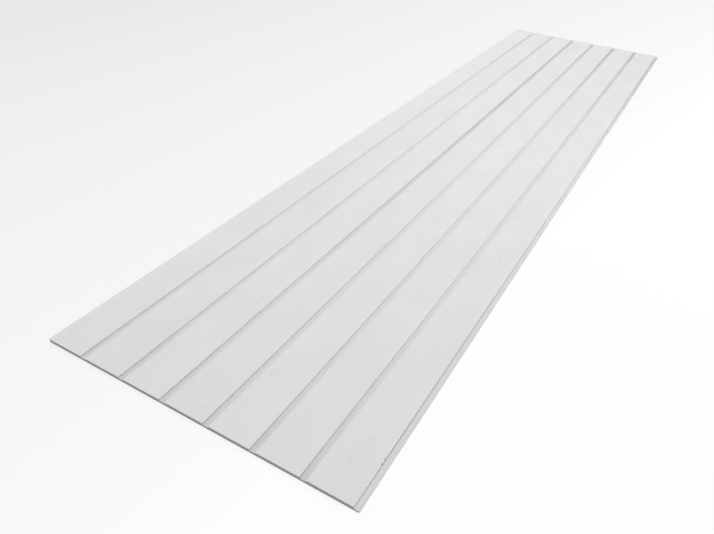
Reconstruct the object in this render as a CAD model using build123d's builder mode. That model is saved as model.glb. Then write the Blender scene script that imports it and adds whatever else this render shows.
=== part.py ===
import os

from build123d import *

# A grooved wall board: one flat sheet, lying face up. Seven equal planks are divided
# by six square-bottomed grooves, and the right-hand long edge is rebated to a thin
# tongue that the next board meets. X runs across the planks, Y along them, Z up from
# the back. The origin is under the middle of the back face.

# Sheet
board_length = 2440.0
board_thickness = 6.5
corner_radius = 2.0

# Planks and the grooves between them
plank_count = 7
plank_width = 75.0
groove_width = 11.0
groove_depth = 2.3
groove_root_radius = 0.5

# Tongue, the strip left under the rebate
tongue_width = 9.0
rebate_depth = 3.1

# Eased edges along the planks and the tongue
arris_radius = 0.4

# Sizes that follow from these
groove_count = plank_count - 1
plank_pitch = plank_width + groove_width
face_width = plank_count * plank_width + groove_count * groove_width
board_width = face_width + tongue_width
face_centre = -tongue_width / 2
groove_floor = board_thickness - groove_depth
tongue_top = board_thickness - rebate_depth

# Corners of the section this near in height are level with each other
level_tolerance = 0.001


def corners_at(sketch, height):
    """The sketch's corners that lie at one height above the back."""
    return sketch.vertices().filter_by_position(Axis.Y, height - level_tolerance, height + level_tolerance)


with BuildPart() as wall_board:
    # The section across the planks, with the grooves and the rebate cut from it
    with BuildSketch(Plane.XZ) as section:
        Rectangle(board_width, board_thickness, align=(Align.CENTER, Align.MIN))
        with Locations((face_centre, board_thickness)):
            with GridLocations(plank_pitch, plank_pitch, groove_count, 1):
                Rectangle(groove_width, groove_depth, align=(Align.CENTER, Align.MAX), mode=Mode.SUBTRACT)
        with Locations((board_width / 2, board_thickness)):
            Rectangle(tongue_width, rebate_depth, align=(Align.MAX, Align.MAX), mode=Mode.SUBTRACT)

        # Eased arrises, then small hollows at the grooves' roots
        plank_arrises = corners_at(section, board_thickness)
        tongue_arris = corners_at(section, tongue_top).sort_by(Axis.X)[-1]
        fillet(plank_arrises + [tongue_arris], arris_radius)
        fillet(corners_at(section, groove_floor), groove_root_radius)
    extrude(amount=board_length / 2, both=True)

    # The plan outline, with its four corners just broken
    with BuildSketch():
        RectangleRounded(board_width, board_length, corner_radius)
    extrude(amount=board_thickness, mode=Mode.INTERSECT)

wall_board.part.label = "wall_board"

os.makedirs("parts", exist_ok=True)
export_step(wall_board.part, "parts/wall_board.step")
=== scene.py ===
"""Dresses a grooved wall board: a thin primed sheet with milled grooves and a rebated tongue.

The board lies face up on a plain floor. X runs across its planks towards the tongue, Y runs
along them, and Z points out of the grooved face. All sizes are in metres.
"""

import math

import bpy
from bpy.props import FloatProperty, FloatVectorProperty, IntProperty, PointerProperty
from mathutils import Matrix, Vector


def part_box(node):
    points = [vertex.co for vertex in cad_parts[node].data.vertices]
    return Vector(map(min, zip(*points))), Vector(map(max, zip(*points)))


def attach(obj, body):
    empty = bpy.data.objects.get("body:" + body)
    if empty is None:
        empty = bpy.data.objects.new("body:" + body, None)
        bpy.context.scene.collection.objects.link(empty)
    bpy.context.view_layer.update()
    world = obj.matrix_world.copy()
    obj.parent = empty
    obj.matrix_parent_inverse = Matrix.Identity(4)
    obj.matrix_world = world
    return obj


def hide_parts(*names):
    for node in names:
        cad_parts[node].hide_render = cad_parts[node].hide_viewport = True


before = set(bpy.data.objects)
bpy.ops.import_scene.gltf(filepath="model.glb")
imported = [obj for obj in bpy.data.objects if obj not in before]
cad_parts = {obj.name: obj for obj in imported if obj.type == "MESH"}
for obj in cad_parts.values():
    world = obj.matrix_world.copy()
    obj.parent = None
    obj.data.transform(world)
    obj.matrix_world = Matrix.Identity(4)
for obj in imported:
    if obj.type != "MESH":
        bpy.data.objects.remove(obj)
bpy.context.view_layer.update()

bl_info = {
    "name": "Grooved wall board",
    "version": (1, 0, 0),
    "blender": (4, 5, 0),
    "location": "View3D > Sidebar > Wall board",
    "description": "Mills a primed wall board from its sizes and lays it on a plain stage",
    "category": "Add Mesh",
}

BOARD_NODE = "wall_board"
BOARD_BODY = "root"

# Inputs of the board's tree
COUNT_INPUTS = ("Planks", "Dark groove", "Seed")
SHARE_INPUTS = ("Plank variation",)
LENGTH_INPUTS = (
    "Width",
    "Length",
    "Thickness",
    "Plank width",
    "Groove width",
    "Groove depth",
    "Root radius",
    "Tongue width",
    "Rebate depth",
    "Arris radius",
    "Corner radius",
    "Nick size",
    "Nick place",
    "Nick gap",
)

# Values that the tree stores on the faces for the materials
TONE_NAME = "tone"
GROOVE_NAME = "groove"
DARK_GROOVE_NAME = "dark_groove"
NICK_NAME = "nick"

# Fineness of the mesh, and how square to an axis a face has to be to count as flat
CORNER_STEPS = 6
ARC_POINTS = 5
MERGE_DISTANCE = 5e-6
AXIS_LIMIT = 0.999

# The dents in the arris, longer than they are wide
NICK_COUNT = 2
NICK_ROUNDNESS = 3
NICK_STRETCH = 1.6

FLOOR_WIDTH = 24.0

board_low, board_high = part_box(BOARD_NODE)
board_width, board_length, board_thickness = board_high - board_low


# Sizes and colours that a user would change


class BoardSizes(bpy.types.PropertyGroup):
    """The board's section. Its width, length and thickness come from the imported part."""

    plank_count: IntProperty(
        name="Planks",
        description="Flat strips between the grooves",
        default=7,
        min=1,
    )
    groove_width: FloatProperty(
        name="Groove width",
        description="Clear width of each groove",
        default=0.011,
        unit="LENGTH",
    )
    groove_depth: FloatProperty(
        name="Groove depth",
        description="Depth of each groove below the face",
        default=0.0023,
        unit="LENGTH",
    )
    root_radius: FloatProperty(
        name="Root radius",
        description="Hollow that the cutter leaves between a groove's wall and its floor",
        default=0.0005,
        unit="LENGTH",
    )
    tongue_width: FloatProperty(
        name="Tongue width",
        description="Width of the thin strip along the right-hand edge",
        default=0.009,
        unit="LENGTH",
    )
    rebate_depth: FloatProperty(
        name="Rebate depth",
        description="Depth of the tongue's top below the face",
        default=0.0031,
        unit="LENGTH",
    )
    arris_radius: FloatProperty(
        name="Arris radius",
        description="Easing of the edges that run along the planks",
        default=0.0004,
        unit="LENGTH",
    )
    corner_radius: FloatProperty(
        name="Corner radius",
        description="Breaking of the sheet's four corners, seen from above",
        default=0.002,
        unit="LENGTH",
    )
    nick_size: FloatProperty(
        name="Nick size",
        description="Half the width of the two dents knocked into the arris above the tongue",
        default=0.0013,
        unit="LENGTH",
    )
    nick_place: FloatProperty(
        name="Nick place",
        description="Distance of the first dent from the near end",
        default=0.079,
        unit="LENGTH",
    )
    nick_gap: FloatProperty(
        name="Nick gap",
        description="Distance between the two dents",
        default=0.0095,
        unit="LENGTH",
    )


class BoardFinish(bpy.types.PropertyGroup):
    """The board's colours, how its primer varies, and the painted shade in its cuts."""

    primer_colour: FloatVectorProperty(
        name="Primer",
        description="Primer on the face, in the grooves and on the long edges",
        default=(0.778, 0.778, 0.777),
        size=3,
        subtype="COLOR",
    )
    core_colour: FloatVectorProperty(
        name="Core",
        description="Bare fibreboard at the sawn ends",
        default=(0.433, 0.448, 0.45),
        size=3,
        subtype="COLOR",
    )
    # Also the colour of the painted shade in the cuts
    milled_and_shade_colour: FloatVectorProperty(
        name="Milled board and shade",
        description="Fibreboard that shows through the thin primer in the cuts",
        default=(0.448, 0.445, 0.44),
        size=3,
        subtype="COLOR",
    )
    fibre_colour: FloatVectorProperty(
        name="Pale fibres",
        description="Lighter bundles of fibre in the core",
        default=(0.545, 0.545, 0.53),
        size=3,
        subtype="COLOR",
    )
    back_colour: FloatVectorProperty(
        name="Back",
        description="Thin sealer on the back",
        default=(0.58, 0.59, 0.565),
        size=3,
        subtype="COLOR",
    )
    # Partly thin primer and partly painted shade, over all the cuts
    cut_share: FloatProperty(
        name="Cut share",
        description="Share of the primer that is missing everywhere in the cuts",
        default=0.05,
        subtype="FACTOR",
    )
    # A groove drawn darker than the others, most of all past its middle
    dark_groove: IntProperty(
        name="Dark groove",
        description="Groove with the thinnest primer, counted from the left-hand edge",
        default=3,
        min=1,
    )
    dark_groove_share: FloatProperty(
        name="Dark groove share",
        description="Largest share of the primer that is missing from that groove, past its middle",
        default=0.34,
        subtype="FACTOR",
    )
    # Painted shade at the near ends of the grooves
    near_shade_share: FloatProperty(
        name="Near shade",
        description="Share of the primer that is missing at the near ends of the grooves",
        default=0.24,
        subtype="FACTOR",
    )
    # Painted shade at the far ends of the right-hand grooves
    far_shade_share: FloatProperty(
        name="Far shade",
        description="Share of the primer that is missing at the far ends of the right-hand grooves",
        default=0.72,
        subtype="FACTOR",
    )
    # Painted shade on the tongue, growing towards the far end
    tongue_shade_share: FloatProperty(
        name="Tongue shade",
        description="Share of the primer that is missing at the far end of the tongue",
        default=0.5,
        subtype="FACTOR",
    )
    rubbed_share: FloatProperty(
        name="Rubbed share",
        description="Share of the primer that handling has rubbed off the arrises, in patches",
        default=0.3,
        subtype="FACTOR",
    )
    plank_variation: FloatProperty(
        name="Plank variation",
        description="Largest difference in brightness of a plank from the average",
        default=0.006,
        subtype="FACTOR",
    )
    seed: IntProperty(
        name="Seed",
        description="Draws another set of plank tones",
        default=4,
    )


class StageSizes(bpy.types.PropertyGroup):
    """The floor, the lamps and the camera."""

    floor_colour: FloatVectorProperty(
        name="Floor",
        description="Plain pale floor beside the board",
        default=(1.0, 1.0, 1.0),
        size=3,
        subtype="COLOR",
    )
    # Painted shade: the floor's colour where its light falls off to the far left
    far_floor_shade_colour: FloatVectorProperty(
        name="Far floor shade",
        description="The same floor where it falls off to the far left",
        default=(0.815, 0.815, 0.815),
        size=3,
        subtype="COLOR",
    )
    floor_evenness: FloatProperty(
        name="Floor evenness",
        description="Share of the floor's tone that the camera sees without its shadows",
        default=0.85,
        subtype="FACTOR",
    )
    room_light: FloatProperty(
        name="Room light",
        description="Even light from all round",
        default=0.347,
    )
    overhead_power: FloatProperty(
        name="Overhead lamp",
        description="Power of the large soft lamp overhead, in watts",
        default=204.0,
    )
    front_power: FloatProperty(
        name="Front lamp",
        description="Power of the small soft lamp to the right of the near end, in watts",
        default=2.9,
    )
    left_power: FloatProperty(
        name="Left lamp",
        description="Power of the low lamp to the left of the near end, in watts",
        default=4.8,
    )
    right_power: FloatProperty(
        name="Right lamp",
        description="Power of the low lamp to the right of the middle, in watts",
        default=3.8,
    )
    low_spread: FloatProperty(
        name="Low spread",
        description="Angle of the two low lamps' beams",
        default=math.radians(100),
        subtype="ANGLE",
    )
    camera_place: FloatVectorProperty(
        name="Camera",
        description="Place of the camera",
        default=(0.5075, -1.6570, 0.7409),
        size=3,
        subtype="XYZ",
        unit="LENGTH",
    )
    camera_aim: FloatVectorProperty(
        name="Aim",
        description="Point on the board's face at the middle of the picture",
        default=(0.0230, -0.7512, 0.0065),
        size=3,
        subtype="XYZ",
        unit="LENGTH",
    )
    camera_roll: FloatProperty(
        name="Roll",
        description="Turn of the camera about its own line of sight",
        default=math.radians(3.586),
        unit="ROTATION",
    )
    camera_lens: FloatProperty(
        name="Lens",
        description="Focal length on a 36 mm wide sensor, in millimetres",
        default=31.73,
    )


# Node trees


class Value:
    """A value in a node tree. Arithmetic on it adds the Math nodes that work it out."""

    def __init__(self, tree, socket):
        self.tree = tree
        self.socket = socket

    def math(self, operation, *others):
        node = self.tree.nodes.new("ShaderNodeMath")
        node.operation = operation
        for socket, value in zip(node.inputs, (self, *others)):
            feed(self.tree, socket, value)
        return Value(self.tree, node.outputs[0])

    def __add__(self, other):
        return self.math("ADD", other)

    def __sub__(self, other):
        return self.math("SUBTRACT", other)

    def __rsub__(self, other):
        return (self * -1).math("ADD", other)

    def __mul__(self, other):
        return self.math("MULTIPLY", other)

    def __truediv__(self, other):
        return self.math("DIVIDE", other)

    def __gt__(self, other):
        return self.math("GREATER_THAN", other)

    def __lt__(self, other):
        return self.math("LESS_THAN", other)

    __radd__ = __add__
    __rmul__ = __mul__


def feed(tree, socket, value):
    """Links a value to an input, or sets the input to a constant."""
    if isinstance(value, Value):
        tree.links.new(value.socket, socket)
    elif socket.type == "RGBA":
        socket.default_value = (*value, 1)
    else:
        socket.default_value = value


def shown(sockets, name):
    """The socket of a name, or of a place in the row, that the node's settings leave showing."""
    if isinstance(name, int):
        return sockets[name]
    return next(socket for socket in sockets if socket.enabled and socket.name == name)


def add_node(tree, kind, inputs=None, output=None, **settings):
    """Adds a node, fills its inputs and returns one of its outputs, by default the first."""
    node = tree.nodes.new(kind)
    for name, value in settings.items():
        setattr(node, name, value)
    for name, value in (inputs or {}).items():
        feed(tree, shown(node.inputs, name), value)
    if output is None:
        return Value(tree, next(socket for socket in node.outputs if socket.enabled))
    return Value(tree, shown(node.outputs, output))


def vector(tree, x=0.0, y=0.0, z=0.0):
    return add_node(tree, "ShaderNodeCombineXYZ", {"X": x, "Y": y, "Z": z})


def parts_of(tree, value):
    """The X, Y and Z of a vector."""
    node = tree.nodes.new("ShaderNodeSeparateXYZ")
    feed(tree, node.inputs["Vector"], value)
    return [Value(tree, output) for output in node.outputs]


# The board's shape


def store(tree, geometry, name, value):
    """Keeps a value on each face, for the materials."""
    return add_node(
        tree,
        "GeometryNodeStoreNamedAttribute",
        {"Geometry": geometry, "Name": name, "Value": value},
        data_type="FLOAT",
        domain="FACE",
    )


def merged(tree, geometry):
    return add_node(
        tree, "GeometryNodeMergeByDistance", {"Geometry": geometry, "Distance": MERGE_DISTANCE}
    )


def section_curve(tree, size):
    """The section across the planks, as a closed curve with its arrises and roots rounded.

    Its outline turns four times at each cut: down the left wall, along the floor and up the
    right wall. Cut -1 stands for the sheet's left edge and the last cut is the rebate.
    """
    index = add_node(tree, "GeometryNodeInputIndex")
    place = index + 2
    cut = (place / 4).math("FLOOR") - 1
    turn = place - (cut + 1) * 4
    is_edge = cut < -0.5
    is_rebate = cut > size["Planks"] - 1.5
    is_groove = 1 - is_edge - is_rebate
    on_right = turn > 1.5
    on_floor = (turn > 0.5) * (turn < 2.5)
    under_tongue = is_rebate * (turn > 2.5)

    cut_width = size["Groove width"] + is_rebate * (size["Tongue width"] - size["Groove width"])
    cut_depth = (
        is_groove * size["Groove depth"]
        + is_rebate * size["Rebate depth"]
        + is_edge * size["Thickness"]
    )
    pitch = size["Plank width"] + size["Groove width"]
    left_wall = size["Plank width"] + cut * pitch - size["Width"] / 2
    across = left_wall + on_right * cut_width
    height = size["Thickness"] - on_floor * cut_depth - under_tongue * size["Thickness"]

    is_root = on_floor * is_groove
    is_arris = (1 - on_floor) * (1 - under_tongue) + on_floor * on_right * is_rebate
    rounding = is_root * size["Root radius"] + is_arris * size["Arris radius"]

    corners = add_node(
        tree, "GeometryNodeMeshLine", {"Count": size["Planks"] * 4 + 2}, mode="OFFSET"
    )
    # The sweep lays the section's own Y along -Z, so the outline is drawn upside down
    placed = add_node(
        tree,
        "GeometryNodeSetPosition",
        {"Geometry": corners, "Position": vector(tree, across, height * -1)},
    )
    outline = add_node(tree, "GeometryNodeMeshToCurve", {"Mesh": placed})
    closed = add_node(tree, "GeometryNodeSetSplineCyclic", {"Geometry": outline, "Cyclic": True})
    return add_node(
        tree,
        "GeometryNodeFilletCurve",
        {"Curve": closed, "Radius": rounding, "Count": ARC_POINTS},
        mode="POLY",
    )


def length_curve(tree, size):
    """The line that the section is drawn along, with closer points where the corners round off."""
    index = add_node(tree, "GeometryNodeInputIndex")
    from_end = index.math("MINIMUM", 2 * CORNER_STEPS + 1 - index)
    angle = from_end * (math.pi / 2 / CORNER_STEPS)
    in_from_end = size["Corner radius"] * (1 - angle.math("COSINE"))
    side = (index > CORNER_STEPS + 0.5) * 2 - 1
    along = side * (size["Length"] / 2 - in_from_end)
    points = add_node(
        tree, "GeometryNodeMeshLine", {"Count": 2 * CORNER_STEPS + 2}, mode="OFFSET"
    )
    placed = add_node(
        tree,
        "GeometryNodeSetPosition",
        {"Geometry": points, "Position": vector(tree, y=along)},
    )
    return add_node(tree, "GeometryNodeMeshToCurve", {"Mesh": placed})


def break_corners(tree, size, board):
    """Draws the two long edges in near the ends, so that the corners are round from above."""
    x, y, _ = parts_of(tree, add_node(tree, "GeometryNodeInputPosition"))
    radius = size["Corner radius"]
    from_end = (size["Length"] / 2 - y.math("ABSOLUTE")).math("MINIMUM", radius)
    short_of_arc = radius - from_end
    inset = radius - (radius * radius - short_of_arc * short_of_arc).math("SQRT")
    # The whole arris moves in with its edge, its inner line of points too
    edge_strip = size["Width"] / 2 - size["Arris radius"] * 1.01
    offset = vector(tree, x.math("SIGN") * inset * -1)
    return add_node(
        tree,
        "GeometryNodeSetPosition",
        {"Geometry": board, "Selection": x.math("ABSOLUTE") > edge_strip, "Offset": offset},
    )


def cut_nicks(tree, size, board):
    """Knocks small dents into the arris above the tongue, and marks their faces."""
    start = vector(
        tree,
        size["Width"] / 2 - size["Tongue width"],
        size["Nick place"] - size["Length"] / 2,
        size["Thickness"],
    )
    places = add_node(
        tree,
        "GeometryNodeMeshLine",
        {
            "Count": NICK_COUNT,
            "Start Location": start,
            "Offset": vector(tree, y=size["Nick gap"]),
        },
        mode="OFFSET",
    )
    knock = add_node(
        tree,
        "GeometryNodeMeshIcoSphere",
        {"Radius": size["Nick size"], "Subdivisions": NICK_ROUNDNESS},
    )
    knocks = add_node(
        tree,
        "GeometryNodeInstanceOnPoints",
        {"Points": places, "Instance": knock, "Scale": (1.0, NICK_STRETCH, 1.0)},
    )
    knocks = add_node(tree, "GeometryNodeRealizeInstances", {"Geometry": knocks})
    dented = add_node(
        tree,
        "GeometryNodeMeshBoolean",
        {"Mesh 1": board, "Mesh 2": store(tree, knocks, NICK_NAME, 1.0)},
        operation="DIFFERENCE",
        solver="EXACT",
    )
    return merged(tree, dented)


def mark_faces(tree, size, board, in_cut, x):
    """Stores what the finish needs to know: each plank's tone, and which faces are grooves."""
    pitch = size["Plank width"] + size["Groove width"]
    # A groove's right wall stands where the next plank starts, but counts with the groove
    from_left = x + size["Width"] / 2 - size["Arris radius"] / 4
    number = (from_left / pitch).math("FLOOR")
    tone_swing = add_node(
        tree,
        "FunctionNodeRandomValue",
        {
            "Min": size["Plank variation"] * -1,
            "Max": size["Plank variation"],
            "ID": number,
            "Seed": size["Seed"],
        },
        data_type="FLOAT",
    )
    in_groove = in_cut * (number < size["Planks"] - 1.5)
    in_dark_groove = in_groove * (number - size["Dark groove"] + 1).math("COMPARE", 0.0, 0.1)
    board = store(tree, board, TONE_NAME, 1 + tone_swing)
    board = store(tree, board, GROOVE_NAME, in_groove)
    return store(tree, board, DARK_GROOVE_NAME, in_dark_groove)


def dress_faces(tree, size, board, materials):
    """Marks the faces, shades the rounded ones smooth and gives each its material."""
    x, _, height = parts_of(tree, add_node(tree, "GeometryNodeInputPosition"))
    facing_x, facing_y, facing_z = parts_of(tree, add_node(tree, "GeometryNodeInputNormal"))
    flattest = facing_x.math("ABSOLUTE").math("MAXIMUM", facing_y.math("ABSOLUTE"))
    flattest = flattest.math("MAXIMUM", facing_z.math("ABSOLUTE"))
    below_face = height < size["Thickness"] - size["Arris radius"]
    in_cut = below_face * (x > size["Arris radius"] - size["Width"] / 2)
    in_nick = add_node(
        tree, "GeometryNodeInputNamedAttribute", {"Name": NICK_NAME}, data_type="FLOAT"
    )

    board = mark_faces(tree, size, board, in_cut, x)
    board = add_node(
        tree,
        "GeometryNodeSetShadeSmooth",
        {"Geometry": board, "Shade Smooth": flattest < AXIS_LIMIT},
        domain="FACE",
    )
    board = add_node(tree, "GeometryNodeRealizeInstances", {"Geometry": board})
    surfaces = (
        (materials["face"], True),
        (materials["cut"], in_cut),
        (materials["core"], facing_y.math("ABSOLUTE") > AXIS_LIMIT),
        (materials["core"], in_nick > 0.5),
        (materials["back"], facing_z < -AXIS_LIMIT),
    )
    for material, where in surfaces:
        board = add_node(
            tree,
            "GeometryNodeSetMaterial",
            {"Geometry": board, "Selection": where, "Material": material},
        )
    return board


def board_inputs(tree):
    """Makes the tree's named inputs, and returns their values by name."""
    entry = tree.nodes.new("NodeGroupInput")
    names = (*COUNT_INPUTS, *SHARE_INPUTS, *LENGTH_INPUTS)
    for name in names:
        kind = "NodeSocketInt" if name in COUNT_INPUTS else "NodeSocketFloat"
        socket = tree.interface.new_socket(name, in_out="INPUT", socket_type=kind)
        if name in LENGTH_INPUTS:
            socket.subtype = "DISTANCE"
    return {name: Value(tree, entry.outputs[name]) for name in names}


def board_tree(materials):
    """Geometry Nodes for the whole board, drawn from its sizes."""
    tree = bpy.data.node_groups.new("Grooved board", "GeometryNodeTree")
    size = board_inputs(tree)
    tree.interface.new_socket("Board", in_out="OUTPUT", socket_type="NodeSocketGeometry")
    board = add_node(
        tree,
        "GeometryNodeCurveToMesh",
        {
            "Curve": length_curve(tree, size),
            "Profile Curve": section_curve(tree, size),
            "Fill Caps": True,
        },
    )
    board = break_corners(tree, size, merged(tree, board))
    board = cut_nicks(tree, size, board)
    board = dress_faces(tree, size, board, materials)
    leave = tree.nodes.new("NodeGroupOutput")
    tree.links.new(board.socket, leave.inputs["Board"])
    return tree


def plain_mesh(name, tree, values):
    """Runs a tree with its inputs set, and returns an object with the finished plain mesh."""
    piece = bpy.data.objects.new(name, bpy.data.meshes.new(name))
    bpy.context.scene.collection.objects.link(piece)
    modifier = piece.modifiers.new(tree.name, "NODES")
    modifier.node_group = tree
    for item in tree.interface.items_tree:
        if item.item_type == "SOCKET" and item.in_out == "INPUT":
            modifier[item.identifier] = values[item.name]
    graph = bpy.context.evaluated_depsgraph_get()
    mesh = bpy.data.meshes.new_from_object(piece.evaluated_get(graph), depsgraph=graph)
    piece.modifiers.remove(modifier)
    piece.data = mesh
    mesh.name = name
    return piece


# Materials


def new_material(name):
    """A fresh material, its tree, its shader and the place on the board that is shaded."""
    material = bpy.data.materials.new(name)
    material.use_nodes = True
    tree = material.node_tree
    place = add_node(tree, "ShaderNodeTexCoord", output="Object")
    return material, tree, tree.nodes["Principled BSDF"], place


def noise(tree, place, marks, detail=2.0):
    """Soft noise, whose marks are about that many metres long in X, Y and Z."""
    scaled = add_node(
        tree,
        "ShaderNodeVectorMath",
        {0: place, 1: tuple(1 / mark for mark in marks)},
        operation="MULTIPLY",
    )
    return add_node(
        tree, "ShaderNodeTexNoise", {"Vector": scaled, "Scale": 1.0, "Detail": detail}
    )


def swing(value, amount):
    """A factor around 1 that follows a noise value between 0 and 1."""
    return 1 + (value - 0.5) * (2 * amount)


def rise(tree, value, low, high):
    """Goes smoothly from 0 to 1 while a value goes from low to high."""
    return add_node(
        tree,
        "ShaderNodeMapRange",
        {"Value": value, "From Min": low, "From Max": high},
        interpolation_type="SMOOTHSTEP",
    )


def blend(tree, share, first, second):
    return add_node(
        tree,
        "ShaderNodeMix",
        {"Factor": share, "A": first, "B": second},
        data_type="RGBA",
    )


def toned(tree, colour, tone):
    """A colour made lighter or darker."""
    return add_node(
        tree, "ShaderNodeVectorMath", {0: colour, "Scale": tone}, operation="SCALE"
    )


def finish_shader(tree, shader, colour, roughness, height, gloss, relief):
    """Sets up the shader. A height of 1 stands for the whole relief, in metres."""
    feed(tree, shader.inputs["Base Color"], colour)
    feed(tree, shader.inputs["Roughness"], roughness)
    feed(tree, shader.inputs["Specular IOR Level"], gloss)
    bump = add_node(tree, "ShaderNodeBump", {"Height": height, "Distance": relief})
    feed(tree, shader.inputs["Normal"], bump)


def stored(tree, name):
    """A value that the board's own tree keeps on its faces."""
    return add_node(tree, "ShaderNodeAttribute", output="Fac", attribute_name=name)


def sawn_off(tree, place):
    """1 where the saw has broken the primer away, in chips under 1 mm along the two ends."""
    _, y, _ = parts_of(tree, place)
    from_end = board_length / 2 - y.math("ABSOLUTE")
    ragged = noise(tree, place, (0.0022, 0.0016, 0.0016), detail=3.0)
    # The further in from the end, the fewer marks of the noise are strong enough for a chip
    return rise(tree, ragged - from_end * 500, 0.42, 0.5)


def rubbed_off(tree, place, arris_radius):
    """1 where handling has rubbed the primer off the arrises, in patches along them."""
    _, _, height = parts_of(tree, place)
    below_face = board_thickness - height
    on_arris = rise(tree, below_face, 0.1 * arris_radius, 0.3 * arris_radius)
    on_arris = on_arris * (below_face < arris_radius)
    patches = noise(tree, place, (0.01, 0.03, 0.01), detail=3.0)
    return on_arris * rise(tree, patches, 0.52, 0.7)


def thin_primer_and_shade(tree, place, finish):
    """Share of the primer colour that gives way to a darker tone in the cuts.

    A small share everywhere is partly thin primer, where the roller hardly reaches, and partly
    painted shade. The shares at the near ends, towards the far right-hand corner and along the
    tongue are painted shade. The dark groove is darker past its middle.
    """
    x, y, _ = parts_of(tree, place)
    along = y / board_length + 0.5
    # Fades out within a tenth or so of the length at the near end, and half of it at the far end
    # Painted shade at the near ends of the grooves
    near_end_shade = (along * -18).math("EXPONENT") * finish.near_shade_share
    # Painted shade at the far ends of the grooves, growing towards the right-hand side
    far_end_shade = (along * 3.4 - 3.4).math("EXPONENT") * finish.far_shade_share
    far_corner_shade = far_end_shade * rise(tree, x, -0.8 * board_width, 0.42 * board_width)
    past_middle = (along.math("POWER", 1.5) * math.pi).math("SINE") * finish.dark_groove_share
    in_groove = stored(tree, GROOVE_NAME)
    in_grooves = in_groove * (near_end_shade + far_corner_shade) + stored(tree, DARK_GROOVE_NAME) * past_middle
    # Painted shade on the tongue, growing towards the far end
    shade_on_tongue = (1 - in_groove) * along * finish.tongue_shade_share
    return in_grooves + shade_on_tongue + finish.cut_share


def primed_face(finish, arris_radius):
    """Rolled primer: faint clouds, long roller streaks, a few scuffs and a fine stipple."""
    material, tree, shader, place = new_material("primed_face")
    tone = stored(tree, TONE_NAME)
    clouds = noise(tree, place, (0.06, 0.13, 0.1), detail=3.0)
    streaks = noise(tree, place, (0.0035, 0.45, 0.1))
    stipple = noise(tree, place, (0.0009, 0.0012, 0.0009), detail=3.0)
    scuffed = rise(tree, noise(tree, place, (0.04, 0.09, 0.1)), 0.58, 0.7)
    scuffs = scuffed * rise(tree, noise(tree, place, (0.006, 0.016, 0.1)), 0.5, 0.68)
    rubbed = rubbed_off(tree, place, arris_radius) * finish.rubbed_share
    colour = toned(
        tree,
        finish.primer_colour,
        tone * swing(clouds, 0.055) * swing(streaks, 0.012) * (1 - scuffs * 0.06),
    )
    colour = blend(tree, rubbed, colour, finish.core_colour)
    colour = blend(tree, sawn_off(tree, place), colour, finish.core_colour)
    roughness = 0.48 + clouds * 0.12 + stipple * 0.08 + scuffs * 0.1 + rubbed * 0.5
    height = stipple + streaks * 0.4
    finish_shader(tree, shader, colour, roughness, height, gloss=0.4, relief=0.00003)
    return material


def primed_cut(finish):
    """Thin primer and painted shade in the grooves and round the tongue, with the cutter's lines
    along them.
    """
    material, tree, shader, place = new_material("primed_cut")
    patches = noise(tree, place, (0.05, 0.12, 0.05))
    cutter_lines = noise(tree, place, (0.0007, 0.5, 0.0007))
    fuzz = noise(tree, place, (0.0005, 0.0009, 0.0005), detail=3.0)
    # The darker tone here is thin primer and painted shade, in patches
    missing = thin_primer_and_shade(tree, place, finish) * swing(patches, 0.5)
    colour = toned(tree, finish.primer_colour, swing(cutter_lines, 0.03))
    colour = blend(tree, missing, colour, finish.milled_and_shade_colour)
    colour = blend(tree, sawn_off(tree, place), colour, finish.core_colour)
    roughness = 0.62 + fuzz * 0.16
    height = cutter_lines + fuzz * 0.6
    finish_shader(tree, shader, colour, roughness, height, gloss=0.35, relief=0.00004)
    return material


def sawn_core(finish):
    """Sawn fibreboard: flat bundles of fibre, denser skins and the saw's upright marks."""
    material, tree, shader, place = new_material("sawn_core")
    _, _, above_back = parts_of(tree, place)
    bundles = noise(tree, place, (0.0016, 0.0010, 0.00035), detail=4.0)
    specks = noise(tree, place, (0.0004, 0.0004, 0.0003), detail=2.0)
    saw_marks = noise(tree, place, (0.0011, 0.5, 0.03), detail=1.0)
    off_middle = (above_back / board_thickness - 0.5).math("ABSOLUTE")
    skins = rise(tree, off_middle, 0.28, 0.5)
    tone = swing(specks, 0.16) * swing(saw_marks, 0.08) * (1 - skins * 0.1)
    pale = rise(tree, bundles, 0.48, 0.75) * (1 - skins * 0.5)
    colour = toned(tree, blend(tree, pale, finish.core_colour, finish.fibre_colour), tone)
    roughness = 0.82 + specks * 0.14
    height = bundles + saw_marks * 0.5
    finish_shader(tree, shader, colour, roughness, height, gloss=0.25, relief=0.00015)
    return material


def sealed_back(finish):
    """A thin coat of sealer over sanded fibreboard, with the roller's bands along the sheet."""
    material, tree, shader, place = new_material("sealed_back")
    bands = noise(tree, place, (0.05, 1.6, 0.1), detail=1.0)
    patches = noise(tree, place, (0.12, 0.2, 0.1), detail=3.0)
    fibres = noise(tree, place, (0.0012, 0.0022, 0.001), detail=4.0)
    bare = rise(tree, fibres * 0.6 + patches * 0.4, 0.48, 0.62)
    tone = swing(bands, 0.09) * swing(patches, 0.09) * swing(fibres, 0.12)
    colour = blend(tree, bare * 0.5, toned(tree, finish.back_colour, tone), finish.core_colour)
    roughness = 0.66 + bare * 0.16 + patches * 0.06
    finish_shader(tree, shader, colour, roughness, fibres, gloss=0.3, relief=0.00005)
    return material


# The stage


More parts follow.
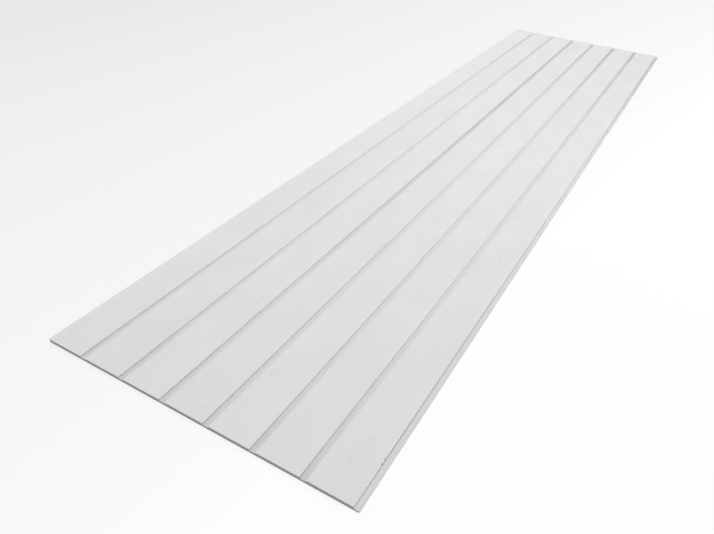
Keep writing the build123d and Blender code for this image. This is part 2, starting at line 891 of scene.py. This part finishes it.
def pale_floor(stage):
    """Plain pale paper, with painted shade that greys it to the far left. The camera sees its
    shadows only faintly.
    """
    material, tree, shader, place = new_material("pale_floor")
    x, y, _ = parts_of(tree, place)
    # 0 from a slanting line just right of the board onwards, and 1 at 2.4 m to the left of it
    shade_farness = ((y * 0.18 - x + 0.39) / 2.4).math("MAXIMUM", 0.0).math("POWER", 0.64)
    # Painted shade, greying the floor towards the far left
    colour = blend(tree, shade_farness, stage.floor_colour, stage.far_floor_shade_colour)
    feed(tree, shader.inputs["Base Color"], colour)
    shader.inputs["Roughness"].default_value = 0.9
    shader.inputs["Specular IOR Level"].default_value = 0.0
    seen = add_node(tree, "ShaderNodeLightPath", output="Is Camera Ray")
    even = add_node(tree, "ShaderNodeEmission", {"Color": colour})
    lit = Value(tree, shader.outputs["BSDF"])
    surface = add_node(
        tree, "ShaderNodeMixShader", {0: seen * stage.floor_evenness, 1: lit, 2: even}
    )
    feed(tree, tree.nodes["Material Output"].inputs["Surface"], surface)
    return material


def lay_floor(stage):
    half = FLOOR_WIDTH / 2
    corners = [(-half, -half, 0), (half, -half, 0), (half, half, 0), (-half, half, 0)]
    mesh = bpy.data.meshes.new("floor")
    mesh.from_pydata(corners, [], [(0, 1, 2, 3)])
    mesh.materials.append(pale_floor(stage))
    floor = bpy.data.objects.new("floor", mesh)
    bpy.context.scene.collection.objects.link(floor)


def hang_lamp(name, place, aim, width, power, spread=math.pi):
    lamp = bpy.data.lights.new(name, "AREA")
    lamp.shape = "SQUARE"
    lamp.size = width
    lamp.energy = power
    lamp.spread = spread
    holder = bpy.data.objects.new(name, lamp)
    holder.location = place
    holder.rotation_euler = (Vector(aim) - Vector(place)).to_track_quat("-Z", "Y").to_euler()
    bpy.context.scene.collection.objects.link(holder)


def light_room(stage):
    """Four soft lamps in a plain room that the camera sees as white."""
    low = stage.low_spread
    hang_lamp("overhead_lamp", (-0.9, 2.0, 4.8), (0, 0.5, 0), 4.0, stage.overhead_power)
    hang_lamp("front_lamp", (1.2, -2.8, 1.6), (0, -1.0, 0), 1.5, stage.front_power)
    hang_lamp("left_lamp", (-2.8, -1.9, 1.0), (0, -1.3, 0), 0.7, stage.left_power, low)
    hang_lamp("right_lamp", (1.9, 0.0, 0.4), (0, 0.0, 0), 0.7, stage.right_power, low)
    world = bpy.data.worlds.new("plain_room")
    world.use_nodes = True
    tree = world.node_tree
    background = tree.nodes["Background"]
    background.inputs["Color"].default_value = (1, 1, 1, 1)
    seen = add_node(tree, "ShaderNodeLightPath", output="Is Camera Ray")
    feed(tree, background.inputs["Strength"], seen.math("MAXIMUM", stage.room_light))
    bpy.context.scene.world = world


def place_camera(stage):
    data = bpy.data.cameras.new("camera")
    data.sensor_width = 36
    data.lens = stage.camera_lens
    camera = bpy.data.objects.new("camera", data)
    sight = Vector(stage.camera_aim) - Vector(stage.camera_place)
    level = sight.to_track_quat("-Z", "Y").to_matrix().to_4x4()
    roll = Matrix.Rotation(stage.camera_roll, 4, "Z")
    camera.matrix_world = Matrix.Translation(stage.camera_place) @ level @ roll
    bpy.context.scene.collection.objects.link(camera)
    bpy.context.scene.camera = camera


# Operators and panel


class WALLBOARD_OT_mill_board(bpy.types.Operator):
    """Mill the grooved board and give it its primed, sawn and sealed surfaces"""

    bl_idname = "wallboard.mill_board"
    bl_label = "Mill the board"

    def execute(self, context):
        sizes = context.scene.board_sizes
        finish = context.scene.board_finish
        materials = {
            "face": primed_face(finish, sizes.arris_radius),
            "cut": primed_cut(finish),
            "core": sawn_core(finish),
            "back": sealed_back(finish),
        }
        groove_total = (sizes.plank_count - 1) * sizes.groove_width
        plank_width = (board_width - sizes.tongue_width - groove_total) / sizes.plank_count
        values = {
            "Planks": sizes.plank_count,
            "Width": board_width,
            "Length": board_length,
            "Thickness": board_thickness,
            "Plank width": plank_width,
            "Groove width": sizes.groove_width,
            "Groove depth": sizes.groove_depth,
            "Root radius": sizes.root_radius,
            "Tongue width": sizes.tongue_width,
            "Rebate depth": sizes.rebate_depth,
            "Arris radius": sizes.arris_radius,
            "Corner radius": sizes.corner_radius,
            "Nick size": sizes.nick_size,
            "Nick place": sizes.nick_place,
            "Nick gap": sizes.nick_gap,
            "Dark groove": finish.dark_groove,
            "Plank variation": finish.plank_variation,
            "Seed": finish.seed,
        }
        board = plain_mesh("primed_board", board_tree(materials), values)
        if not board.data.polygons:
            raise RuntimeError("the board's tree made no faces")
        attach(board, BOARD_BODY)
        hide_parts(BOARD_NODE)
        return {"FINISHED"}


class WALLBOARD_OT_lay_stage(bpy.types.Operator):
    """Lay the floor, hang the lamps and place the camera"""

    bl_idname = "wallboard.lay_stage"
    bl_label = "Lay the stage"

    def execute(self, context):
        stage = context.scene.stage_sizes
        lay_floor(stage)
        light_room(stage)
        place_camera(stage)
        context.scene.view_settings.view_transform = "Standard"
        return {"FINISHED"}


class WALLBOARD_PT_sidebar(bpy.types.Panel):
    """Sizes, colours and makers of the wall board"""

    bl_label = "Wall board"
    bl_idname = "WALLBOARD_PT_sidebar"
    bl_space_type = "VIEW_3D"
    bl_region_type = "UI"
    bl_category = "Wall board"

    def draw(self, context):
        scene = context.scene
        for settings in (scene.board_sizes, scene.board_finish, scene.stage_sizes):
            box = self.layout.box()
            for name in settings.bl_rna.properties.keys():
                if name not in ("rna_type", "name"):
                    box.prop(settings, name)
        self.layout.operator(WALLBOARD_OT_mill_board.bl_idname)
        self.layout.operator(WALLBOARD_OT_lay_stage.bl_idname)


CLASSES = (
    BoardSizes,
    BoardFinish,
    StageSizes,
    WALLBOARD_OT_mill_board,
    WALLBOARD_OT_lay_stage,
    WALLBOARD_PT_sidebar,
)


def register():
    for cls in CLASSES:
        bpy.utils.register_class(cls)
    bpy.types.Scene.board_sizes = PointerProperty(type=BoardSizes)
    bpy.types.Scene.board_finish = PointerProperty(type=BoardFinish)
    bpy.types.Scene.stage_sizes = PointerProperty(type=StageSizes)


def unregister():
    del bpy.types.Scene.stage_sizes
    del bpy.types.Scene.board_finish
    del bpy.types.Scene.board_sizes
    for cls in reversed(CLASSES):
        bpy.utils.unregister_class(cls)


def main():
    register()
    bpy.ops.wallboard.mill_board()
    bpy.ops.wallboard.lay_stage()


if __name__ == "__main__":
    main()
